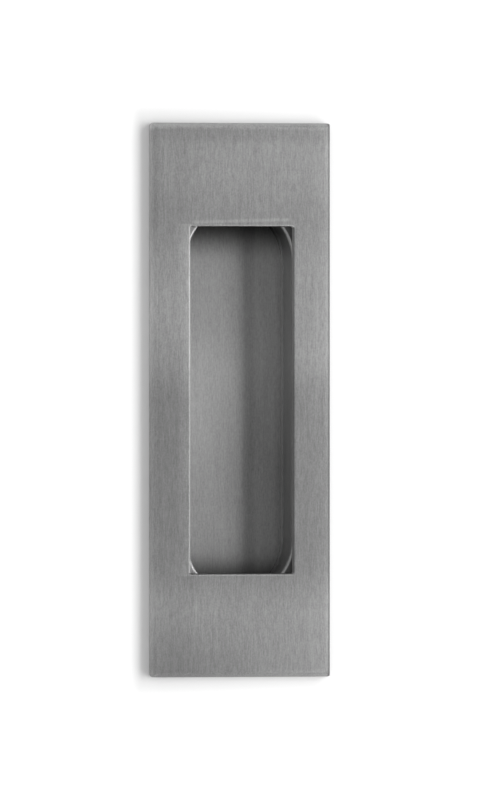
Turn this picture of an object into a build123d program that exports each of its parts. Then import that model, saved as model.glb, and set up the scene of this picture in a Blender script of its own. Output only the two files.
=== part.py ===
from build123d import *
from math import radians, tan
import os

os.makedirs("parts", exist_ok=True)

# Recessed pull handle for a sliding door, with concealed fixing.
# A deep-drawn cup base is screwed to the door, and a bent sheet cover snaps over its flange.
# All sizes are in millimetres. +Z runs up the door, the front faces -Y, and the face of the
# door is the plane Y = 0. The origin is the centre of the four fixing screws on that plane.

# Cover plate
cover_width = 50.0
cover_height = 150.0
cover_sheet = 1.5
cover_inside_bend = 0.7
cover_corner_radius = 1.0
window_width = 28.7
window_height = 93.9
window_corner_radius = 0.4
window_edge_radius = 0.6

# Cup base
base_sheet = 1.2
recess_width = 29.2
recess_height = 105.2
recess_depth = 12.5
floor_radius = 0.8
lip_radius = 0.8
flange_corner_radius = 0.8

# Fixing screws, countersunk, for wood
screw_diameter = 3.0
screw_length = 16.0
screw_point_length = 4.0
screw_tip_diameter = 0.4
screw_head_diameter = 6.0
screw_head_angle = 90.0
screw_side_inset = 6.7
screw_end_inset = 8.2
cross_width = 0.7
cross_length = 3.4
cross_depth = 1.3

# Snap fit between the flange and the rim of the cover
snap_length = 6.0
snap_thickness = 0.8
snap_engagement = 0.25
snap_taper = 15.0
snap_end_inset = 22.0

# Clearances
cover_to_flange = 0.8
flange_clearance = 0.3
snap_clearance = 0.05
screw_hole_clearance = 0.2
screw_seat_clearance = 0.05

# Sizes that follow from the ones above
cover_standout = cover_sheet + cover_to_flange + base_sheet
flange_width = cover_width - 2 * (cover_sheet + flange_clearance)
flange_height = cover_height - 2 * (cover_sheet + flange_clearance)
floor_y = recess_depth - cover_standout
cup_width = recess_width + 2 * base_sheet
screw_spacing_across = flange_width - 2 * screw_side_inset
screw_spacing_along = flange_height - 2 * screw_end_inset
snap_reach = flange_clearance + snap_engagement
snap_back = (base_sheet - snap_thickness) / 2
snap_rise = flange_height / 2 - snap_end_inset

# Planes that face the front
door_face = Plane.XZ
flange_front = Plane.XZ.offset(base_sheet)
cover_front = Plane.XZ.offset(cover_standout)


def bent_section(span, standout, bend):
    """The outline of the cover across one of its folds: flat in front, rounded at both bends."""
    Rectangle(span, standout, align=(Align.CENTER, Align.MAX))
    fillet(vertices().group_by(Axis.Y)[0], bend)


def bent_block(width, height, standout, bend):
    """A block with all four front edges bent, whose folds meet in mitres at the corners."""
    with BuildPart() as block:
        with BuildSketch(Plane((0, 0, -height / 2), x_dir=(1, 0, 0), z_dir=(0, 0, 1))):
            bent_section(width, standout, bend)
        extrude(amount=height)
        with BuildSketch(Plane((-width / 2, 0, 0), x_dir=(0, 0, -1), z_dir=(1, 0, 0))):
            bent_section(height, standout, bend)
        extrude(amount=width, mode=Mode.INTERSECT)
    return block.part


def snap_bars(reach, margin):
    """Bars under the rim of the cover, which stand past the flange's edges by the reach."""
    across = flange_width + 2 * reach
    along = flange_height + 2 * reach
    length = snap_length + 2 * margin
    with Locations((0, -snap_rise), (0, 0), (0, snap_rise)):
        Rectangle(across, length)
    Rectangle(length, along)


# Cover plate: one bent sheet with ground corners and a square-cornered window
outside_bend = cover_inside_bend + cover_sheet
cover_outside = bent_block(cover_width, cover_height, cover_standout, outside_bend)
cover_inside = bent_block(
    cover_width - 2 * cover_sheet,
    cover_height - 2 * cover_sheet,
    cover_standout - cover_sheet,
    cover_inside_bend,
)

with BuildPart() as cover_plate:
    add(cover_outside)
    with BuildSketch(door_face):
        RectangleRounded(cover_width, cover_height, cover_corner_radius)
    extrude(amount=cover_standout, mode=Mode.INTERSECT)
    add(cover_inside, mode=Mode.SUBTRACT)
    with BuildSketch(cover_front):
        RectangleRounded(window_width, window_height, window_corner_radius)
    extrude(amount=-cover_sheet, mode=Mode.SUBTRACT)
    front_face = cover_plate.faces().sort_by(Axis.Y)[0]
    fillet(front_face.inner_wires()[0].edges(), window_edge_radius)
    # Notches inside the rim, which the snaps of the flange spring into
    with BuildSketch(door_face.offset(snap_back - snap_clearance)):
        snap_bars(snap_reach + snap_clearance, snap_clearance)
    extrude(amount=snap_thickness + 2 * snap_clearance, mode=Mode.SUBTRACT)

cover_plate.part.label = "cover_plate"
export_step(cover_plate.part, "parts/cover_plate.step")


# Cup base: one deep-drawn pressing, a flat flange around an obround cup
with BuildPart() as cup_hollow:
    with BuildSketch(flange_front):
        SlotOverall(recess_height, recess_width, rotation=90)
    extrude(amount=-(floor_y + base_sheet))
    fillet(cup_hollow.edges().group_by(Axis.Y)[-1], floor_radius)

with BuildPart() as cup_base:
    with BuildSketch(door_face):
        RectangleRounded(flange_width, flange_height, flange_corner_radius)
    extrude(amount=base_sheet)
    with BuildSketch(door_face.offset(snap_back)):
        snap_bars(snap_reach, 0)
    extrude(amount=snap_thickness, taper=snap_taper)
    with BuildSketch(door_face):
        SlotOverall(recess_height + 2 * base_sheet, cup_width, rotation=90)
    extrude(amount=-(floor_y + base_sheet))
    fillet(cup_base.edges().group_by(Axis.Y)[-1], floor_radius + base_sheet)
    add(cup_hollow.part, mode=Mode.SUBTRACT)
    mouth_face = cup_base.faces().sort_by(Axis.Y)[0]
    fillet(mouth_face.inner_wires()[0].edges(), lip_radius)
    with Locations(flange_front):
        with GridLocations(screw_spacing_across, screw_spacing_along, 2, 2):
            CounterSinkHole(
                screw_diameter / 2 + screw_hole_clearance,
                screw_head_diameter / 2 + screw_seat_clearance,
                counter_sink_angle=screw_head_angle,
            )

cup_base.part.label = "cup_base"
export_step(cup_base.part, "parts/cup_base.step")


# Fixing screws: countersunk wood screws with a cross recess, drawn without their threads
screw_places = GridLocations(screw_spacing_across, screw_spacing_along, 2, 2).local_locations
head_cone = (screw_head_diameter - screw_diameter) / 2
head_height = head_cone / tan(radians(screw_head_angle / 2))
for number, place in enumerate(screw_places, start=1):
    x = place.position.X
    z = place.position.Y
    half_section = Plane((x, -base_sheet, z), x_dir=(1, 0, 0), z_dir=(0, 0, 1))
    with BuildPart() as fixing_screw:
        with BuildSketch(half_section):
            with BuildLine():
                Polyline(
                    (0, 0),
                    (screw_head_diameter / 2, 0),
                    (screw_diameter / 2, head_height),
                    (screw_diameter / 2, screw_length - screw_point_length),
                    (screw_tip_diameter / 2, screw_length),
                    (0, screw_length),
                    close=True,
                )
            make_face()
        revolve(axis=Axis((x, 0, z), (0, 1, 0)))
        with BuildSketch(flange_front):
            with Locations((x, z)):
                Rectangle(cross_length, cross_width)
                Rectangle(cross_width, cross_length)
        extrude(amount=-cross_depth, mode=Mode.SUBTRACT)
    fixing_screw.part.label = f"fixing_screw_{number}"
    export_step(fixing_screw.part, f"parts/fixing_screw_{number}.step")
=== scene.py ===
from math import cos, pi, radians, sin, tan

import bmesh
import bpy
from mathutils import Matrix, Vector


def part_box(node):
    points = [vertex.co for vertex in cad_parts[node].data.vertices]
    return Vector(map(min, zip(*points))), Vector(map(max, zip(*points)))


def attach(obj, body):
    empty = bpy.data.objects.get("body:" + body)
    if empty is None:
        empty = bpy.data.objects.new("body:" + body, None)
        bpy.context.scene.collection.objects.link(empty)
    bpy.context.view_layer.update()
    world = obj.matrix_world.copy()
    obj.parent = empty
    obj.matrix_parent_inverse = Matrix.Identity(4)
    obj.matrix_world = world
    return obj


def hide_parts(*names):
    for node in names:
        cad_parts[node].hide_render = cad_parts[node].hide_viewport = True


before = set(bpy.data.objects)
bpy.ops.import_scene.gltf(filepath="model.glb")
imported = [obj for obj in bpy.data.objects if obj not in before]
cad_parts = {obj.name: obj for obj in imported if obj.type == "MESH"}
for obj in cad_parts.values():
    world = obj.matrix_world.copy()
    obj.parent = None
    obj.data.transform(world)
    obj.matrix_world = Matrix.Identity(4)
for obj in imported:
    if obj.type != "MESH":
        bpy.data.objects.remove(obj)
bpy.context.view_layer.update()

bl_info = {
    "name": "Recessed pull handle",
    "version": (1, 0, 0),
    "blender": (4, 5, 0),
    "location": "3D View > Sidebar > Pull handle",
    "description": "Dresses a recessed pull handle in brushed steel and lights it on a white door",
    "category": "Object",
}

# Everything is in metres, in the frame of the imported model: +Z up the door, front towards -Y,
# and the face of the door in the plane Y = 0.
MM = 0.001
COVER_LOW, COVER_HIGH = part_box("cover_plate")
CUP_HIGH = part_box("cup_base")[1]
SCREWS = [name for name in sorted(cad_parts) if name.startswith("fixing_screw")]
SCREW_LOW, SCREW_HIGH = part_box(SCREWS[0])

# Sizes of the solids that their boxes don't give. The window is given from its middle to its
# sides. The cup's mouth is obround: CUP_RADIUS is that of its round ends, and CUP_END is how far
# up and down from the middle they have their centres.
WINDOW_X = 14.35 * MM
WINDOW_Z = 46.95 * MM
CUP_SHEET = 1.2 * MM
CUP_RADIUS = 14.6 * MM
CUP_END = 38.0 * MM
CUP_FLOOR = CUP_HIGH.y - CUP_SHEET


def linear(colour):
    """A hex sRGB colour as linear red, green, blue and alpha."""
    channels = [int(colour[place : place + 2], 16) / 255 for place in (1, 3, 5)]
    return [c / 12.92 if c <= 0.04045 else ((c + 0.055) / 1.055) ** 2.4 for c in channels] + [1.0]


def add_node(tree, kind, inputs=(), **settings):
    """Adds one node with its settings and links.

    The inputs are a sequence in the node's own order, or a dictionary by name. Each is a plain
    value, a node whose first output is linked, an output, or a list of what to link.
    """
    made = tree.nodes.new(kind)
    for name, value in settings.items():
        setattr(made, name, value)
    given = inputs if isinstance(inputs, dict) else dict(enumerate(inputs))
    for key, value in given.items():
        for source in value if isinstance(value, list) else [value]:
            if isinstance(source, bpy.types.Node):
                source = source.outputs[0]
            if isinstance(source, bpy.types.NodeSocket):
                tree.links.new(source, made.inputs[key])
            else:
                made.inputs[key].default_value = source
    return made


class SteelSettings(bpy.types.PropertyGroup):
    """Colour, gloss and grain of the stainless steel"""

    cover_colour: bpy.props.FloatVectorProperty(
        name="Cover colour",
        description="Reflected colour of the brushed cover plate",
        subtype="COLOR",
        size=4,
        min=0.0,
        max=1.0,
        default=linear("#A7A7A7"),
    )
    cover_roughness: bpy.props.FloatProperty(
        name="Cover roughness",
        description="Roughness of the brushed cover plate",
        subtype="FACTOR",
        min=0.04,
        max=0.96,
        default=0.616,
    )
    cover_stretch: bpy.props.FloatProperty(
        name="Cover stretch",
        description="How far the cover's highlights spread across its brush lines",
        subtype="FACTOR",
        min=0.0,
        max=1.0,
        default=0.861,
    )
    cover_contrast: bpy.props.FloatProperty(
        name="Cover contrast",
        description="How much lighter and darker than the sheet the cover's brush lines are",
        subtype="FACTOR",
        min=0.0,
        max=0.6,
        default=0.3,
    )
    cup_colour: bpy.props.FloatVectorProperty(
        name="Cup colour",
        description="Reflected colour of the drawn cup base",
        subtype="COLOR",
        size=4,
        min=0.0,
        max=1.0,
        default=linear("#A6A6A6"),
    )
    cup_roughness: bpy.props.FloatProperty(
        name="Cup roughness",
        description="Roughness of the drawn cup base",
        subtype="FACTOR",
        min=0.04,
        max=0.96,
        default=0.53,
    )
    cup_stretch: bpy.props.FloatProperty(
        name="Cup stretch",
        description="How far the cup's highlights spread across its brush lines",
        subtype="FACTOR",
        min=0.0,
        max=1.0,
        default=0.35,
    )
    cup_contrast: bpy.props.FloatProperty(
        name="Cup contrast",
        description="How much lighter and darker than the sheet the cup's brush lines are",
        subtype="FACTOR",
        min=0.0,
        max=0.6,
        default=0.235,
    )
    cup_coarseness: bpy.props.FloatProperty(
        name="Cup coarseness",
        description="How many times wider the drawn cup's brush lines are than the cover's",
        min=0.5,
        max=3.0,
        default=1.25,
    )
    grain_width: bpy.props.FloatProperty(
        name="Grain width",
        description="Width of one brush line across the grain",
        unit="LENGTH",
        min=0.05 * MM,
        max=2 * MM,
        precision=5,
        default=0.3 * MM,
    )
    grain_length: bpy.props.FloatProperty(
        name="Grain length",
        description="Length of one brush line along the grain",
        unit="LENGTH",
        min=1 * MM,
        max=60 * MM,
        precision=5,
        default=2.2 * MM,
    )


class ScrewSettings(bpy.types.PropertyGroup):
    """Sizes, thread and colour of the fixing screws"""

    zinc_colour: bpy.props.FloatVectorProperty(
        name="Zinc colour",
        description="Reflected colour of the zinc plate on the screws",
        subtype="COLOR",
        size=4,
        min=0.0,
        max=1.0,
        default=linear("#A9ACAF"),
    )
    head_diameter: bpy.props.FloatProperty(
        name="Head",
        description="Diameter of the countersunk head",
        unit="LENGTH",
        precision=5,
        default=SCREW_HIGH.x - SCREW_LOW.x,
    )
    thread_diameter: bpy.props.FloatProperty(
        name="Thread",
        description="Outside diameter of the thread",
        unit="LENGTH",
        precision=5,
        default=3.0 * MM,
    )
    core_diameter: bpy.props.FloatProperty(
        name="Core",
        description="Diameter of the screw between its threads",
        unit="LENGTH",
        precision=5,
        default=2.0 * MM,
    )
    pitch: bpy.props.FloatProperty(
        name="Pitch",
        description="Distance from one turn of the thread to the next",
        unit="LENGTH",
        precision=5,
        default=1.3 * MM,
    )
    point_length: bpy.props.FloatProperty(
        name="Point",
        description="Length of the tapered point",
        unit="LENGTH",
        precision=5,
        default=4.0 * MM,
    )
    recess_length: bpy.props.FloatProperty(
        name="Cross recess",
        description="Length of each bar of the cross recess in the head",
        unit="LENGTH",
        precision=5,
        default=3.4 * MM,
    )


class StageSettings(bpy.types.PropertyGroup):
    """Camera, light and background"""

    view_azimuth: bpy.props.FloatProperty(
        name="View from the left",
        description="Angle between the camera and the normal of the cover",
        subtype="ANGLE",
        default=radians(14.2),
    )
    lens: bpy.props.FloatProperty(
        name="Lens",
        description="Focal length of the camera in millimetres",
        unit="CAMERA",
        default=700.0,
    )
    door_colour: bpy.props.FloatVectorProperty(
        name="Door colour",
        description="Colour of the face of the door behind the handle",
        subtype="COLOR",
        size=4,
        min=0.0,
        max=1.0,
        default=linear("#F0F0F0"),
    )
    key_power: bpy.props.FloatProperty(
        name="Softbox",
        description="Power of the tall softbox at the right",
        unit="POWER",
        default=1.35,
    )
    door_light_power: bpy.props.FloatProperty(
        name="Door light",
        description="Power of the lamp that lights the door and casts the shadow on it",
        unit="POWER",
        default=4.0,
    )
    tent_level: bpy.props.FloatProperty(
        name="Tent level",
        description="Level of the white light tent all round",
        default=1.0,
    )
    fill_level: bpy.props.FloatProperty(
        name="Fill level",
        description="Level of the soft light that the tent throws on the door",
        default=0.6,
    )
    front_level: bpy.props.FloatProperty(
        name="Front level",
        description="Level of the tent's opening, where the camera stands",
        default=0.34,
    )


def stripe(tree, value, centre, half, soft):
    """A mask of 1 within half of the centre, which fades to 0 over the soft width outside."""
    offset = add_node(tree, "ShaderNodeMath", [value, centre], operation="SUBTRACT")
    away = add_node(tree, "ShaderNodeMath", [offset], operation="ABSOLUTE")
    return add_node(
        tree,
        "ShaderNodeMapRange",
        [away, half, half + soft, 1.0, 0.0],
        interpolation_type="SMOOTHSTEP",
    )


def toned(tree, tone, level, *masks):
    """The tone times a level, which holds only as far as every mask is 1."""
    for mask in masks:
        level = add_node(tree, "ShaderNodeMix", {"Factor": mask, "A": 1.0, "B": level})
    return add_node(tree, "ShaderNodeMath", [tone, level], operation="MULTIPLY")


def flatness(tree):
    """1 on faces that look straight to the front or the back, 0 on those at right angles."""
    normal = add_node(tree, "ShaderNodeNewGeometry").outputs["Normal"]
    slope = add_node(tree, "ShaderNodeSeparateXYZ", [normal]).outputs["Y"]
    return add_node(tree, "ShaderNodeMath", [slope], operation="ABSOLUTE")


def cover_tone(tree, place):
    """How light the cover is: its window's edge and its face carry painted highlights and painted
    shade, so it isn't even.
    """
    axes = add_node(tree, "ShaderNodeSeparateXYZ", [place]).outputs
    x, z = axes["X"], axes["Z"]
    left, right, top = COVER_LOW.x, COVER_HIGH.x, COVER_HIGH.z

    # Where the window's softened edge is, and where it bends away from the face: by 4 to 14
    # degrees at its sides and bottom, and by 14 to 23 degrees at its top
    beside_window = stripe(tree, x, 0.0, WINDOW_X + 0.65 * MM, 0.1 * MM)
    along_window = stripe(tree, z, 0.0, WINDOW_Z + 0.65 * MM, 0.1 * MM)
    on_sides = stripe(tree, z, 0.0, WINDOW_Z - 0.35 * MM, 0.4 * MM)
    top_from, top_to = WINDOW_Z - 0.35 * MM, WINDOW_Z + 0.05 * MM
    at_top = add_node(tree, "ShaderNodeMapRange", [z, top_from, top_to, 0.0, 1.0])
    flat = flatness(tree)
    bent_early = add_node(tree, "ShaderNodeMapRange", [flat, 0.97, 0.998, 1.0, 0.0])
    bent_late = add_node(tree, "ShaderNodeMapRange", [flat, 0.92, 0.97, 1.0, 0.0])
    bent = add_node(
        tree, "ShaderNodeMix", {"Factor": at_top, "A": bent_early, "B": bent_late}
    )

    # Painted highlight and shade on the window's edge: a painted highlight at the left, painted
    # shade at the right but for the last of its curve, which is lighter, and painted highlights at
    # the top and the bottom, with painted shadow on the sheet's lower lip
    sides = add_node(tree, "ShaderNodeMapRange", [x, -14 * MM, 14 * MM, 1.35, 0.55])
    outer_from, outer_to = WINDOW_X + 0.15 * MM, WINDOW_X + 0.45 * MM
    right_curve = add_node(tree, "ShaderNodeMapRange", [x, outer_from, outer_to, 1.0, 1.7])
    sides = toned(tree, sides, right_curve)
    ends = add_node(tree, "ShaderNodeMapRange", [z, -40 * MM, 40 * MM, 1.9, 1.4])
    end_slant = add_node(tree, "ShaderNodeMapRange", [x, -14 * MM, 8 * MM, 0.93, 1.07])
    lower_lip = stripe(tree, z, -WINDOW_Z - 0.05 * MM, 0.25 * MM, 0.2 * MM)
    ends = toned(tree, toned(tree, ends, end_slant), 0.38, lower_lip)
    edge_painted_light = add_node(tree, "ShaderNodeMix", {"Factor": on_sides, "A": ends, "B": sides})
    tone = toned(tree, 1.0, edge_painted_light, beside_window, along_window, bent)

    # Painted highlights on the flat face: a lighter strip left of the window and a thin light line
    # above it
    strip_from, strip_to = -WINDOW_X + 0.05 * MM, -WINDOW_X + 0.15 * MM
    left_of_window = add_node(tree, "ShaderNodeMapRange", [x, strip_from, strip_to, 1.0, 0.0])
    strip_painted_light = add_node(tree, "ShaderNodeMapRange", [x, -18.5 * MM, -15 * MM, 1.0, 1.2])
    tone = toned(tree, tone, strip_painted_light, left_of_window, along_window)
    line_left, line_right = WINDOW_Z + 1.15 * MM, WINDOW_Z + 1.85 * MM
    line = add_node(tree, "ShaderNodeMapRange", [x, -12 * MM, 10 * MM, line_left, line_right])
    line_height = stripe(tree, z, line, 0.1 * MM, 0.6 * MM)
    line_width = stripe(tree, x, 0.0, 12.5 * MM, 2 * MM)
    tone = toned(tree, tone, 1.2, line_height, line_width)

    # Painted light and shade across the plate: it is a little lighter to the right, with painted
    # shade in the bend there, and its left bend carries a painted highlight but for the top
    slant = add_node(tree, "ShaderNodeMapRange", [x, left, 12 * MM, 0.95, 1.03])
    tone = toned(tree, tone, slant)
    border = add_node(tree, "ShaderNodeMapRange", [x, right - 7 * MM, right - 3 * MM, 1.0, 1.1])
    tone = toned(tree, tone, border)
    bend_from, bend_to = right - 1.1 * MM, right - 0.3 * MM
    right_bend = add_node(tree, "ShaderNodeMapRange", [x, bend_from, bend_to, 1.0, 0.3])
    tone = toned(tree, tone, right_bend)
    left_bend = stripe(tree, x, left + 0.9 * MM, 0.3 * MM, 0.8 * MM)
    below_top = add_node(tree, "ShaderNodeMapRange", [z, 38 * MM, 48 * MM, 1.0, 0.0])
    tone = toned(tree, tone, 1.18, left_bend, below_top)

    # Painted light and shade along the plate: painted shade over its lower half, over a longer
    # stretch at the right. Above that are a painted lighter patch at the left, a band of painted
    # shade and a dark painted line below the top bend, which carries a painted highlight, most of
    # all at the left. The bottom end has painted shade, most of all at the left.
    from_lower = add_node(tree, "ShaderNodeMath", [z, 22.3 * MM], operation="ADD")
    narrowing = add_node(tree, "ShaderNodeMapRange", [x, -20 * MM, 20 * MM, 0.975, 0.93])
    lower = stripe(tree, toned(tree, from_lower, narrowing), 0.0, 21 * MM, 13 * MM)
    tone = toned(tree, tone, 0.79, lower)
    left_border = add_node(tree, "ShaderNodeMapRange", [x, -15.5 * MM, -14.4 * MM, 1.0, 0.0])
    tone = toned(tree, tone, 1.08, stripe(tree, z, 24 * MM, 2 * MM, 10 * MM), left_border)
    tone = toned(tree, tone, 0.9, stripe(tree, z, 49 * MM, 1 * MM, 12 * MM))
    top_line = add_node(tree, "ShaderNodeMapRange", [x, -24 * MM, -10 * MM, 0.94, 0.89])
    tone = toned(tree, tone, top_line, stripe(tree, z, top - 3.1 * MM, 0.8 * MM, 2.5 * MM))
    top_light = add_node(tree, "ShaderNodeMapRange", [x, left, 20 * MM, 1.22, 0.96])
    fold_from, fold_to = top - 2 * MM, top - 1.2 * MM
    top_bend = add_node(tree, "ShaderNodeMapRange", [z, fold_from, fold_to, 1.0, top_light])
    tone = toned(tree, tone, top_bend)
    low_left = add_node(tree, "ShaderNodeMapRange", [x, -12 * MM, 5 * MM, 0.8, 0.94])
    low_end = add_node(tree, "ShaderNodeMapRange", [z, -58 * MM, -72 * MM, 1.0, low_left])
    return toned(tree, tone, low_end)


def cup_tone(tree, place):
    """How light the cup is: painted light and shade on its floor, wall, lip and flange, and an even
    tone on the back of its sheet.
    """
    axes = add_node(tree, "ShaderNodeSeparateXYZ", [place]).outputs
    x, y, z = axes["X"], axes["Y"], axes["Z"]
    dull_back = 0.85

    # The distance from the line up the middle of the cup, and round the centres of its ends
    height = add_node(tree, "ShaderNodeMath", [z], operation="ABSOLUTE")
    beyond = add_node(tree, "ShaderNodeMath", [height, CUP_END], operation="SUBTRACT")
    end_part = add_node(tree, "ShaderNodeMath", [beyond, 0.0], operation="MAXIMUM")
    spoke = add_node(tree, "ShaderNodeCombineXYZ", {"X": x, "Z": end_part})
    from_middle = add_node(
        tree, "ShaderNodeVectorMath", [spoke], operation="LENGTH"
    ).outputs["Value"]

    # Where the cup's lower right is, which gets painted shade, and where its left is
    right = add_node(tree, "ShaderNodeMapRange", [x, 3 * MM, 6 * MM, 0.0, 1.0])
    left = add_node(tree, "ShaderNodeMapRange", [x, 3 * MM, 6 * MM, 1.0, 0.0])
    low = add_node(tree, "ShaderNodeMapRange", [z, 10 * MM, -15 * MM, 0.0, 1.0])
    low_right = add_node(tree, "ShaderNodeMath", [right, low], operation="MULTIPLY")

    # The wall: painted shade over most of it, more at the lower right, a painted highlight just
    # above its bottom bend, and painted shade in that bend and towards both ends
    bend_top, bend_low = CUP_FLOOR - 0.7 * MM, CUP_FLOOR - 0.15 * MM
    wall = toned(tree, 1.0, 0.78, low_right)
    for level in (
        add_node(tree, "ShaderNodeMapRange", [y, bend_top, bend_low, 1.05, 0.42]),
        add_node(tree, "ShaderNodeMapRange", [y, bend_top - 0.4 * MM, bend_top, 0.75, 1.0]),
        add_node(tree, "ShaderNodeMapRange", [z, CUP_END, CUP_END + 7.5 * MM, 1.0, 0.3]),
        add_node(tree, "ShaderNodeMapRange", [z, -CUP_END, -CUP_END - 8 * MM, 1.0, 0.6]),
    ):
        wall = toned(tree, wall, level)

    # The floor: painted light on its left, strongest near the middle and fainter low down, a streak
    # of painted shade where that ends, and painted shade at the lower right and along the rim
    floor = toned(tree, 1.0, 0.82, low_right)
    floor = toned(tree, floor, 0.86, stripe(tree, x, 5 * MM, 0.4 * MM, 2.4 * MM))
    low_fade = add_node(tree, "ShaderNodeMapRange", [z, -12 * MM, -27 * MM, 1.0, 0.93])
    lit_part = toned(tree, low_fade, 1.13, stripe(tree, z, 2 * MM, 4 * MM, 18 * MM))
    floor = toned(tree, floor, lit_part, left)
    rim_level = add_node(tree, "ShaderNodeMix", {"Factor": low_right, "A": 0.82, "B": 0.72})
    rim_from, rim_to = CUP_RADIUS - 2.6 * MM, CUP_RADIUS - 0.3 * MM
    rim = add_node(tree, "ShaderNodeMapRange", [from_middle, rim_from, rim_to, 1.0, rim_level])
    floor = toned(tree, floor, rim)

    # The lip and the flange: painted light and shade that fall off from left to right, with more
    # painted shade on the lip's lower right
    lip = add_node(tree, "ShaderNodeMapRange", [x, -14 * MM, 14 * MM, 1.2, 0.7])
    lip = toned(tree, lip, 0.88, low_right)
    flange = add_node(tree, "ShaderNodeMapRange", [x, -14 * MM, 14 * MM, 1.0, 0.35])

    # Which of them a point belongs to. What is neither is the back of the sheet.
    flat = add_node(tree, "ShaderNodeMapRange", [flatness(tree), 0.97, 0.998, 0.0, 1.0])
    mouth = add_node(tree, "ShaderNodeMath", [y, -0.1 * MM], operation="LESS_THAN")
    within = CUP_RADIUS + CUP_SHEET / 2
    narrow = add_node(tree, "ShaderNodeMath", [from_middle, within], operation="LESS_THAN")
    shallow = add_node(
        tree, "ShaderNodeMath", [y, CUP_FLOOR + CUP_SHEET / 2], operation="LESS_THAN"
    )
    inside = add_node(tree, "ShaderNodeMath", [narrow, shallow], operation="MULTIPLY")
    hollow = add_node(tree, "ShaderNodeMix", {"Factor": flat, "A": wall, "B": floor})
    sheet = add_node(tree, "ShaderNodeMix", {"Factor": inside, "A": dull_back, "B": hollow})
    front = add_node(tree, "ShaderNodeMix", {"Factor": flat, "A": lip, "B": flange})
    return add_node(tree, "ShaderNodeMix", {"Factor": mouth, "A": sheet, "B": front})


def steel_material(name, tone, colour, width, length, contrast, roughness, stretch):
    """Stainless steel with a brushed grain along Z.

    The fine scratches run up the sheet, so a highlight spreads across them and stays short along
    them. The eye sees thin vertical streaks, a little lighter and darker than the sheet. Real
    brush lines are about 0.05 mm wide, too fine to show here, so they are drawn several times
    coarser.
    """
    material = bpy.data.materials.new(name)
    material.use_nodes = True
    tree = material.node_tree
    tree.nodes.clear()
    place = add_node(tree, "ShaderNodeTexCoord").outputs["Object"]
    patterns = []
    for across, along, detail in (
        (width, length, 1.0),
        (1.2 * width, 1.5 * width, 0.0),
        (4 * width, 8 * length, 2.0),
        (14 * MM, 30 * MM, 1.0),
    ):
        scaled = add_node(
            tree,
            "ShaderNodeVectorMath",
            [place, (1 / across, 1 / across, 1 / along)],
            operation="MULTIPLY",
        )
        pattern = add_node(
            tree,
            "ShaderNodeTexNoise",
            {"Vector": scaled, "Scale": 1.0, "Detail": detail, "Roughness": 0.6},
        )
        patterns.append(pattern)
    lines, specks, streaks, clouds = patterns
    noise_low, noise_high = 0.25, 0.75

    # The colour: the lines with some longer streaks and specks, over faint clouds and the tone,
    # which carries the painted light and shade
    lined = add_node(tree, "ShaderNodeMix", {"Factor": 0.35, "A": lines, "B": streaks})
    brushed = add_node(tree, "ShaderNodeMix", {"Factor": 0.25, "A": lined, "B": specks})
    grain = add_node(
        tree,
        "ShaderNodeMapRange",
        [brushed, noise_low, noise_high, 1 - contrast, 1 + contrast],
    )
    cloudy = add_node(tree, "ShaderNodeMapRange", [clouds, noise_low, noise_high, 0.95, 1.05])
    shade = toned(tree, toned(tree, grain, cloudy), tone(tree, place))
    tinted = add_node(
        tree, "ShaderNodeVectorMath", {0: tuple(colour)[:3], "Scale": shade}, operation="SCALE"
    )

    # The gloss: uneven from line to line, and stretched across the grain
    rough = add_node(
        tree,
        "ShaderNodeMapRange",
        [brushed, noise_low, noise_high, roughness - 0.04, roughness + 0.04],
    )
    scratches = add_node(
        tree, "ShaderNodeBump", {"Strength": 1.0, "Distance": 0.006 * MM, "Height": lines}
    )
    normal = add_node(tree, "ShaderNodeNewGeometry").outputs["Normal"]
    level = add_node(
        tree, "ShaderNodeVectorMath", [(0.0, 0.0, 1.0), normal], operation="CROSS_PRODUCT"
    )
    # A nudge keeps the direction defined where the normal points up or down
    nudged = add_node(tree, "ShaderNodeVectorMath", [level, (0.001, 0.0, 0.0)], operation="ADD")
    tangent = add_node(tree, "ShaderNodeVectorMath", [nudged], operation="NORMALIZE")
    steel = add_node(
        tree,
        "ShaderNodeBsdfPrincipled",
        {
            "Base Color": tinted,
            "Metallic": 1.0,
            "Roughness": rough,
            "Anisotropic": stretch,
            "Tangent": tangent,
            "Normal": scratches,
        },
    )
    add_node(tree, "ShaderNodeOutputMaterial", {"Surface": steel})
    return material


def merged_copy(node, name):
    """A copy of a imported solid's mesh, joined at its seams, smooth on its curves."""
    seam = 0.001 * MM
    crease = radians(32)
    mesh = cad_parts[node].data.copy()
    mesh.name = name
    work = bmesh.new()
    work.from_mesh(mesh)
    bmesh.ops.remove_doubles(work, verts=work.verts, dist=seam)
    for face in work.faces:
        face.smooth = True
    for edge in work.edges:
        edge.smooth = edge.calc_face_angle(0) < crease
    work.to_mesh(mesh)
    work.free()
    mesh.materials.clear()
    piece = bpy.data.objects.new(name, mesh)
    bpy.context.scene.collection.objects.link(piece)
    weights = piece.modifiers.new("Weighted normals", "WEIGHTED_NORMAL")
    weights.keep_sharp = True
    return piece


class HANDLE_OT_dress_cover(bpy.types.Operator):
    """Make the brushed cover plate"""

    bl_idname = "handle.dress_cover"
    bl_label = "Dress the cover plate"

    def execute(self, context):
        settings = context.scene.handle_steel
        piece = merged_copy("cover_plate", "cover")
        # Brushed up its length: fine streaks all over, and a shine that spreads sideways
        material = steel_material(
            "Brushed stainless steel",
            cover_tone,
            colour=settings.cover_colour,
            width=settings.grain_width,
            length=settings.grain_length,
            contrast=settings.cover_contrast,
            roughness=settings.cover_roughness,
            stretch=settings.cover_stretch,
        )
        piece.data.materials.append(material)
        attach(piece, "root")
        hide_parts("cover_plate")
        return {"FINISHED"}


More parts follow.
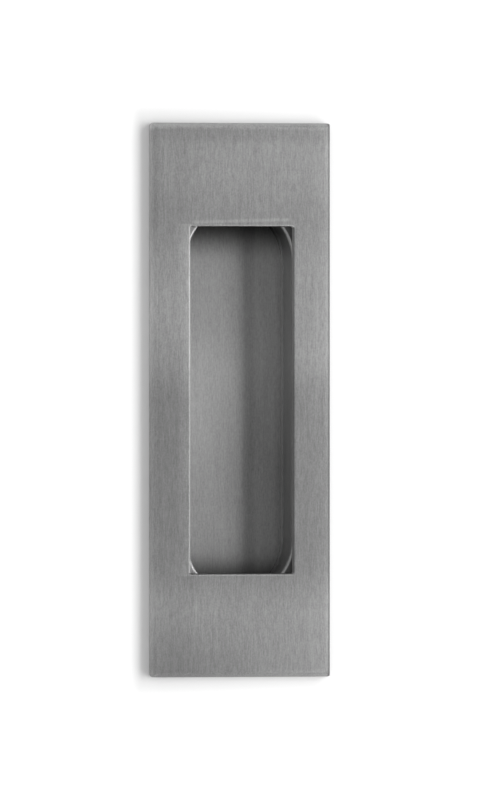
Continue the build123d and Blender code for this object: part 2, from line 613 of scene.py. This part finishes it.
class HANDLE_OT_dress_cup(bpy.types.Operator):
    """Make the drawn cup base"""

    bl_idname = "handle.dress_cup"
    bl_label = "Dress the cup base"

    def execute(self, context):
        settings = context.scene.handle_steel
        piece = merged_copy("cup_base", "cup")
        # Drawing stretches the sheet: its streaks turn wider and fainter, and its shine rounder
        material = steel_material(
            "Drawn stainless steel",
            cup_tone,
            colour=settings.cup_colour,
            width=settings.cup_coarseness * settings.grain_width,
            length=settings.grain_length,
            contrast=settings.cup_contrast,
            roughness=settings.cup_roughness,
            stretch=settings.cup_stretch,
        )
        piece.data.materials.append(material)
        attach(piece, "root")
        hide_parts("cup_base")
        return {"FINISHED"}


def zinc_material(settings):
    """Bright zinc plate with the slight cloudiness of a barrel-plated screw.

    The eye sees a cool, fairly sharp shine that is a little duller and darker in patches about
    2.5 mm across.
    """
    patch = 2.5 * MM
    noise_low, noise_high = 0.3, 0.7
    material = bpy.data.materials.new("Bright zinc plate")
    material.use_nodes = True
    tree = material.node_tree
    tree.nodes.clear()
    place = add_node(tree, "ShaderNodeTexCoord").outputs["Object"]
    cloud = add_node(
        tree, "ShaderNodeTexNoise", {"Vector": place, "Scale": 1 / patch, "Detail": 2.0}
    )
    shade = add_node(tree, "ShaderNodeMapRange", [cloud, noise_low, noise_high, 0.9, 1.06])
    colour = tuple(settings.zinc_colour)[:3]
    tinted = add_node(
        tree, "ShaderNodeVectorMath", {0: colour, "Scale": shade}, operation="SCALE"
    )
    rough = add_node(tree, "ShaderNodeMapRange", [cloud, noise_low, noise_high, 0.36, 0.28])
    zinc = add_node(
        tree,
        "ShaderNodeBsdfPrincipled",
        {"Base Color": tinted, "Metallic": 1.0, "Roughness": rough},
    )
    add_node(tree, "ShaderNodeOutputMaterial", {"Surface": zinc})
    return material


def screw_tree():
    """Geometry Nodes for a countersunk wood screw, made along +Z and turned to point to +Y."""
    tree = bpy.data.node_groups.new("Wood screw", "GeometryNodeTree")
    tree.interface.new_socket("Geometry", in_out="OUTPUT", socket_type="NodeSocketGeometry")
    tree.interface.new_socket("Place", in_out="INPUT", socket_type="NodeSocketVector")
    for name in ("Length", "Head", "Thread", "Core", "Pitch", "Point", "Recess"):
        tree.interface.new_socket(name, in_out="INPUT", socket_type="NodeSocketFloat")
    tree.interface.new_socket("Material", in_out="INPUT", socket_type="NodeSocketMaterial")
    given = add_node(tree, "NodeGroupInput").outputs

    # What the inputs leave open: the tip, the end of it without a thread, how finely the screw is
    # divided, the recess's depth and width as shares of its length, and where the thread starts
    # as a share of the head
    tip_radius = 0.05 * MM
    bare_tip = 0.4 * MM
    bar_rings, bar_sides = 65, 32
    turn_points, ridge_sides = 24, 3
    depth_share, width_share = 0.76, 0.2
    start_share = 0.45
    first_rise = 0.1

    # Where a point of the screw lies, and how far the screw's own point has tapered there
    place = add_node(tree, "GeometryNodeInputPosition")
    axes = add_node(tree, "ShaderNodeSeparateXYZ", [place]).outputs
    core = add_node(tree, "ShaderNodeMath", [given["Core"], 0.5], operation="MULTIPLY")
    rest = add_node(tree, "ShaderNodeMath", [given["Length"], axes["Z"]], operation="SUBTRACT")
    to_tip = add_node(tree, "ShaderNodeMath", [rest, given["Point"]], operation="DIVIDE")
    taper = add_node(tree, "ShaderNodeMath", [to_tip, 1.0], operation="MINIMUM")

    # The core and the head: a round bar along +Z, whose radius changes along its length
    end = add_node(tree, "ShaderNodeCombineXYZ", [0.0, 0.0, given["Length"]])
    line = add_node(tree, "GeometryNodeCurvePrimitiveLine", {"End": end})
    bar_line = add_node(tree, "GeometryNodeResampleCurve", {"Curve": line, "Count": bar_rings})
    head = add_node(tree, "ShaderNodeMath", [given["Head"], 0.5], operation="MULTIPLY")
    cone = add_node(tree, "ShaderNodeMath", [head, axes["Z"]], operation="SUBTRACT")
    tapered = add_node(tree, "ShaderNodeMath", [core, taper], operation="MULTIPLY")
    point = add_node(tree, "ShaderNodeMath", [tapered, tip_radius], operation="MAXIMUM")
    radius = add_node(tree, "ShaderNodeMath", [cone, point], operation="MAXIMUM")
    ring = add_node(
        tree, "GeometryNodeCurvePrimitiveCircle", {"Resolution": bar_sides, "Radius": 1.0}
    )
    bar = add_node(
        tree,
        "GeometryNodeCurveToMesh",
        {"Curve": bar_line, "Profile Curve": ring, "Scale": radius, "Fill Caps": True},
    )

    # The cross recess, cut into the head
    recess = given["Recess"]
    depth = add_node(tree, "ShaderNodeMath", [recess, depth_share], operation="MULTIPLY")
    width = add_node(tree, "ShaderNodeMath", [recess, width_share], operation="MULTIPLY")
    cuts = []
    for sizes in ([recess, width, depth], [width, recess, depth]):
        size = add_node(tree, "ShaderNodeCombineXYZ", sizes)
        cuts.append(add_node(tree, "GeometryNodeMeshCube", {"Size": size}))
    body = add_node(
        tree,
        "GeometryNodeMeshBoolean",
        {"Mesh 1": bar, "Mesh 2": cuts},
        operation="DIFFERENCE",
        solver="EXACT",
    )

    # The thread: a sharp ridge along a helix, which grows out under the head and ends at the point
    start = add_node(tree, "ShaderNodeMath", [given["Head"], start_share], operation="MULTIPLY")
    shank = add_node(tree, "ShaderNodeMath", [given["Length"], start], operation="SUBTRACT")
    run = add_node(tree, "ShaderNodeMath", [shank, bare_tip], operation="SUBTRACT")
    turns = add_node(tree, "ShaderNodeMath", [run, given["Pitch"]], operation="DIVIDE")
    helix = add_node(
        tree,
        "GeometryNodeCurveSpiral",
        {
            "Resolution": turn_points,
            "Rotations": turns,
            "Start Radius": core,
            "End Radius": core,
            "Height": run,
            "Reverse": True,
        },
    )
    under_head = add_node(tree, "ShaderNodeCombineXYZ", [0.0, 0.0, start])
    lowered = add_node(
        tree, "GeometryNodeSetPosition", {"Geometry": helix, "Offset": under_head}
    )
    inward_x = add_node(tree, "ShaderNodeMath", [axes["X"], taper], operation="MULTIPLY")
    inward_y = add_node(tree, "ShaderNodeMath", [axes["Y"], taper], operation="MULTIPLY")
    inward = add_node(tree, "ShaderNodeCombineXYZ", [inward_x, inward_y, axes["Z"]])
    narrowed = add_node(
        tree, "GeometryNodeSetPosition", {"Geometry": lowered, "Position": inward}
    )
    upright = add_node(tree, "GeometryNodeSetCurveNormal", {"Curve": narrowed}, mode="Z_UP")
    outside = add_node(tree, "ShaderNodeMath", [given["Thread"], 0.5], operation="MULTIPLY")
    rise = add_node(tree, "ShaderNodeMath", [outside, core], operation="SUBTRACT")
    from_start = add_node(tree, "ShaderNodeMath", [axes["Z"], start], operation="SUBTRACT")
    grown = add_node(tree, "ShaderNodeMath", [from_start, given["Pitch"]], operation="DIVIDE")
    growing = add_node(tree, "ShaderNodeMath", [grown, first_rise], operation="MAXIMUM")
    share = add_node(tree, "ShaderNodeMath", [taper, growing], operation="MINIMUM")
    ridge_rise = add_node(tree, "ShaderNodeMath", [rise, share], operation="MULTIPLY")
    ridge = add_node(
        tree, "GeometryNodeCurvePrimitiveCircle", {"Resolution": ridge_sides, "Radius": 1.0}
    )
    thread = add_node(
        tree,
        "GeometryNodeCurveToMesh",
        {"Curve": upright, "Profile Curve": ridge, "Scale": ridge_rise, "Fill Caps": True},
    )

    # The whole screw, turned to its place, smooth but for its creases
    both = add_node(tree, "GeometryNodeJoinGeometry", {"Geometry": [thread, body]})
    moved = add_node(
        tree,
        "GeometryNodeTransform",
        {"Geometry": both, "Translation": given["Place"], "Rotation": (radians(-90), 0.0, 0.0)},
    )
    smooth = add_node(tree, "GeometryNodeSetShadeSmooth", {"Geometry": moved})
    angle = add_node(tree, "GeometryNodeInputMeshEdgeAngle")
    crease = add_node(tree, "ShaderNodeMath", [angle, radians(30)], operation="GREATER_THAN")
    sharp = add_node(
        tree,
        "GeometryNodeSetShadeSmooth",
        {"Geometry": smooth, "Selection": crease, "Shade Smooth": False},
        domain="EDGE",
    )
    real = add_node(tree, "GeometryNodeRealizeInstances", {"Geometry": sharp})
    plated = add_node(
        tree, "GeometryNodeSetMaterial", {"Geometry": real, "Material": given["Material"]}
    )
    add_node(tree, "NodeGroupOutput", {"Geometry": plated})
    return tree


class HANDLE_OT_thread_screws(bpy.types.Operator):
    """Make the four fixing screws with their threads"""

    bl_idname = "handle.thread_screws"
    bl_label = "Thread the fixing screws"

    def execute(self, context):
        settings = context.scene.handle_screws
        tree = screw_tree()
        values = {
            "Length": SCREW_HIGH.y - SCREW_LOW.y,
            "Head": settings.head_diameter,
            "Thread": settings.thread_diameter,
            "Core": settings.core_diameter,
            "Pitch": settings.pitch,
            "Point": settings.point_length,
            "Recess": settings.recess_length,
            "Material": zinc_material(settings),
        }
        sockets = {item.name: item.identifier for item in tree.interface.items_tree}
        for number, node in enumerate(SCREWS, start=1):
            low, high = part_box(node)
            name = f"wood_screw_{number}"
            maker = bpy.data.objects.new(name, bpy.data.meshes.new(name))
            context.scene.collection.objects.link(maker)
            modifier = maker.modifiers.new("Wood screw", "NODES")
            modifier.node_group = tree
            modifier[sockets["Place"]] = ((low.x + high.x) / 2, low.y, (low.z + high.z) / 2)
            for key, value in values.items():
                modifier[sockets[key]] = value
            seen = maker.evaluated_get(context.evaluated_depsgraph_get())
            mesh = bpy.data.meshes.new_from_object(seen)
            maker.modifiers.remove(modifier)
            maker.data = mesh
            if not mesh.polygons:
                raise RuntimeError(f"{name} came out empty")
            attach(maker, "root")
            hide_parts(node)
        return {"FINISHED"}


class HANDLE_OT_set_stage(bpy.types.Operator):
    """Set up the door, the lights and the camera"""

    bl_idname = "handle.set_stage"
    bl_label = "Set the stage"

    def execute(self, context):
        settings = context.scene.handle_stage
        make_door(settings)
        make_world(settings)
        make_lights(settings)
        make_camera(settings)
        context.scene.view_settings.view_transform = "Standard"
        return {"FINISHED"}


def make_door(settings):
    """The painted face of the door, open behind the cover, and clear as seen from behind."""
    reach = 0.6
    overlap = 0.4 * MM
    depth = 0.02 * MM
    low = COVER_LOW + Vector((overlap, 0, overlap))
    high = COVER_HIGH - Vector((overlap, 0, overlap))
    corners = [(-reach, -reach), (reach, -reach), (reach, reach), (-reach, reach)]
    opening = [(low.x, low.z), (high.x, low.z), (high.x, high.z), (low.x, high.z)]
    points = [(x, depth, z) for x, z in corners + opening]
    faces = [(i, (i + 1) % 4, 4 + (i + 1) % 4, 4 + i) for i in range(4)]
    mesh = bpy.data.meshes.new("door_face")
    mesh.from_pydata(points, [], faces)
    mesh.materials.append(door_paint(settings))
    door = bpy.data.objects.new("door_face", mesh)
    bpy.context.scene.collection.objects.link(door)


def door_paint(settings):
    """White satin paint: a soft white that holds the handle's shadow near the cover, where painted
    shade deepens it.
    """
    shadow_reach = 2 * MM
    shadow_fade = 8 * MM
    plain_glow = 0.3
    material = bpy.data.materials.new("White satin paint")
    material.use_nodes = True
    tree = material.node_tree
    tree.nodes.clear()
    paint = add_node(
        tree, "ShaderNodeBsdfDiffuse", {"Color": tuple(settings.door_colour), "Roughness": 0.5}
    )

    # Rays that show the background as it is see it glow up to plain white, but the glow fades out
    # all round the cover: painted shade that deepens the handle's shadow on the door
    rays = add_node(tree, "ShaderNodeLightPath").outputs
    seen = rays["Is Camera Ray"]
    for kind in ("Is Glossy Ray", "Is Transmission Ray"):
        seen = add_node(tree, "ShaderNodeMath", [seen, rays[kind]], operation="MAXIMUM")
    place = add_node(tree, "ShaderNodeTexCoord").outputs["Object"]
    axes = add_node(tree, "ShaderNodeSeparateXYZ", [place]).outputs
    across = stripe(tree, axes["X"], 0.0, COVER_HIGH.x + shadow_reach, shadow_fade)
    along = stripe(tree, axes["Z"], 0.0, COVER_HIGH.z + shadow_reach, shadow_fade)
    near = add_node(tree, "ShaderNodeMath", [across, along], operation="MULTIPLY")
    glow = add_node(tree, "ShaderNodeMix", {"Factor": near, "A": plain_glow, "B": 0.0})
    lift = add_node(tree, "ShaderNodeMath", [seen, glow], operation="MULTIPLY")
    light = add_node(
        tree, "ShaderNodeEmission", {"Color": (1.0, 1.0, 1.0, 1.0), "Strength": lift}
    )
    front = add_node(tree, "ShaderNodeAddShader", [paint, light])
    clear = add_node(tree, "ShaderNodeBsdfTransparent")
    behind = add_node(tree, "ShaderNodeNewGeometry").outputs["Backfacing"]
    surface = add_node(tree, "ShaderNodeMixShader", [behind, front, clear])
    add_node(tree, "ShaderNodeOutputMaterial", {"Surface": surface})
    return material


def direction(azimuth, elevation):
    """The direction from the cover towards a point round it: azimuth 0 is in front, 90 is right."""
    a, e = radians(azimuth), radians(elevation)
    return Vector((sin(a) * cos(e), -cos(a) * cos(e), sin(e)))


def make_world(settings):
    """A soft studio: white where the camera sees it, and a plain soft fill everywhere else.

    Gloss sees a light tent round the handle, brighter at the left, with an opening in front.
    """
    world = bpy.data.worlds.new("Studio")
    bpy.context.scene.world = world
    world.use_nodes = True
    tree = world.node_tree
    tree.nodes.clear()
    opening = tuple(direction(4, 0))
    opening_edge, opening_inside = cos(radians(50)), cos(radians(31))
    right_level, left_level = 0.65, 1.35
    rays = add_node(tree, "ShaderNodeLightPath").outputs
    towards = add_node(tree, "ShaderNodeTexCoord").outputs["Generated"]
    frontward = add_node(
        tree, "ShaderNodeVectorMath", [towards, opening], operation="DOT_PRODUCT"
    ).outputs["Value"]
    tent = add_node(
        tree,
        "ShaderNodeMapRange",
        [frontward, opening_edge, opening_inside, settings.tent_level, settings.front_level],
        interpolation_type="SMOOTHSTEP",
    )
    leftward = add_node(
        tree, "ShaderNodeVectorMath", [towards, (-1.0, 0.0, 0.0)], operation="DOT_PRODUCT"
    ).outputs["Value"]
    side = add_node(tree, "ShaderNodeMapRange", [leftward, -1.0, 1.0, right_level, left_level])
    tent = add_node(tree, "ShaderNodeMath", [tent, side], operation="MULTIPLY")
    level = add_node(
        tree,
        "ShaderNodeMix",
        {"Factor": rays["Is Glossy Ray"], "A": settings.fill_level, "B": tent},
    )
    level = add_node(
        tree, "ShaderNodeMix", {"Factor": rays["Is Camera Ray"], "A": level, "B": 1.0}
    )
    background = add_node(
        tree, "ShaderNodeBackground", {"Color": (1.0, 1.0, 1.0, 1.0), "Strength": level}
    )
    add_node(tree, "ShaderNodeOutputWorld", {"Surface": background})


def soft_light(name, azimuth, distance, width_angle, height_angle, power):
    """A rectangular soft light, level with the cover, that faces it from the given azimuth."""
    lamp = bpy.data.lights.new(name, "AREA")
    lamp.shape = "RECTANGLE"
    lamp.size = 2 * distance * tan(radians(width_angle / 2))
    lamp.size_y = 2 * distance * tan(radians(height_angle / 2))
    lamp.energy = power
    light = bpy.data.objects.new(name, lamp)
    towards = direction(azimuth, 0)
    light.location = towards * distance
    light.rotation_euler = towards.to_track_quat("Z", "Y").to_euler()
    light.visible_camera = False
    bpy.context.scene.collection.objects.link(light)
    return light


def shade_end(name, side, clear_from, dark_at):
    """A graded shade close over one end of the cup's floor. The camera looks through it."""
    wall_gap = 0.3 * MM
    floor_gap = 0.4 * MM
    clear_strip = 1 * MM
    darkest = 0.1
    steps = 24
    radius = CUP_RADIUS - wall_gap
    centre = side * CUP_END
    inner = side * (clear_from - clear_strip)
    height = CUP_FLOOR - floor_gap
    turns = [pi * i / steps for i in range(steps + 1)]
    points = [(radius * cos(t), height, centre + side * radius * sin(t)) for t in turns]
    points += [(-radius, height, inner), (radius, height, inner)]
    mesh = bpy.data.meshes.new(name)
    mesh.from_pydata(points, [], [tuple(range(len(points)))])
    material = bpy.data.materials.new(name)
    material.use_nodes = True
    tree = material.node_tree
    tree.nodes.clear()
    place = add_node(tree, "ShaderNodeTexCoord").outputs["Object"]
    z = add_node(tree, "ShaderNodeSeparateXYZ", [place]).outputs["Z"]
    passed = add_node(
        tree,
        "ShaderNodeMapRange",
        [z, side * clear_from, side * dark_at, 1.0, darkest],
        interpolation_type="SMOOTHSTEP",
    )
    film = add_node(tree, "ShaderNodeBsdfTransparent", {"Color": passed})
    add_node(tree, "ShaderNodeOutputMaterial", {"Surface": film})
    mesh.materials.append(material)
    shade = bpy.data.objects.new(name, mesh)
    shade.visible_camera = False
    bpy.context.scene.collection.objects.link(shade)


def make_lights(settings):
    """The softbox, the light that throws the shadow on the door, and the shades in the cup."""
    soft_light(
        "Softbox",
        azimuth=53.5,
        distance=0.35,
        width_angle=23,
        height_angle=90,
        power=settings.key_power,
    )
    door_light = soft_light(
        "Door light",
        azimuth=50,
        distance=0.9,
        width_angle=24,
        height_angle=60,
        power=settings.door_light_power,
    )
    door_light.visible_glossy = False
    shade_end("end_shade_top", side=1, clear_from=36.6 * MM, dark_at=48.1 * MM)
    shade_end("end_shade_bottom", side=-1, clear_from=40 * MM, dark_at=51.2 * MM)


def make_camera(settings):
    """A long lens, level with the middle of the cover and a little to its left."""
    picture_height = 800
    pixels_per_mm = 3.695
    pixels_right = 2.05
    sensor = 36.0
    frame_height = picture_height / pixels_per_mm * MM
    distance = frame_height * settings.lens / sensor
    camera_data = bpy.data.cameras.new("Camera")
    camera_data.lens = settings.lens
    camera_data.sensor_width = sensor
    camera_data.clip_end = 20.0
    camera = bpy.data.objects.new("Camera", camera_data)
    bpy.context.scene.collection.objects.link(camera)
    bpy.context.scene.camera = camera
    a = settings.view_azimuth
    back = Vector((-sin(a), -cos(a), 0))
    right = Vector((cos(a), -sin(a), 0))
    front_centre = Vector((0, COVER_LOW.y, 0))
    target = front_centre - right * pixels_right / pixels_per_mm * MM
    camera.location = target + back * distance
    camera.rotation_euler = back.to_track_quat("Z", "Y").to_euler()


class HANDLE_PT_panel(bpy.types.Panel):
    """The steps that dress the handle, in order"""

    bl_label = "Recessed pull handle"
    bl_idname = "HANDLE_PT_panel"
    bl_space_type = "VIEW_3D"
    bl_region_type = "UI"
    bl_category = "Pull handle"

    def draw(self, context):
        for step in STEPS:
            self.layout.operator(step.bl_idname)


STEPS = (
    HANDLE_OT_dress_cover,
    HANDLE_OT_dress_cup,
    HANDLE_OT_thread_screws,
    HANDLE_OT_set_stage,
)
GROUPS = {
    "handle_steel": SteelSettings,
    "handle_screws": ScrewSettings,
    "handle_stage": StageSettings,
}


def register():
    for kind in (*GROUPS.values(), *STEPS, HANDLE_PT_panel):
        bpy.utils.register_class(kind)
    for name, group in GROUPS.items():
        setattr(bpy.types.Scene, name, bpy.props.PointerProperty(type=group))


def unregister():
    for name in GROUPS:
        delattr(bpy.types.Scene, name)
    for kind in (HANDLE_PT_panel, *STEPS, *GROUPS.values()):
        bpy.utils.unregister_class(kind)


def main():
    register()
    bpy.ops.handle.dress_cover()
    bpy.ops.handle.dress_cup()
    bpy.ops.handle.thread_screws()
    bpy.ops.handle.set_stage()


if __name__ == "__main__":
    main()
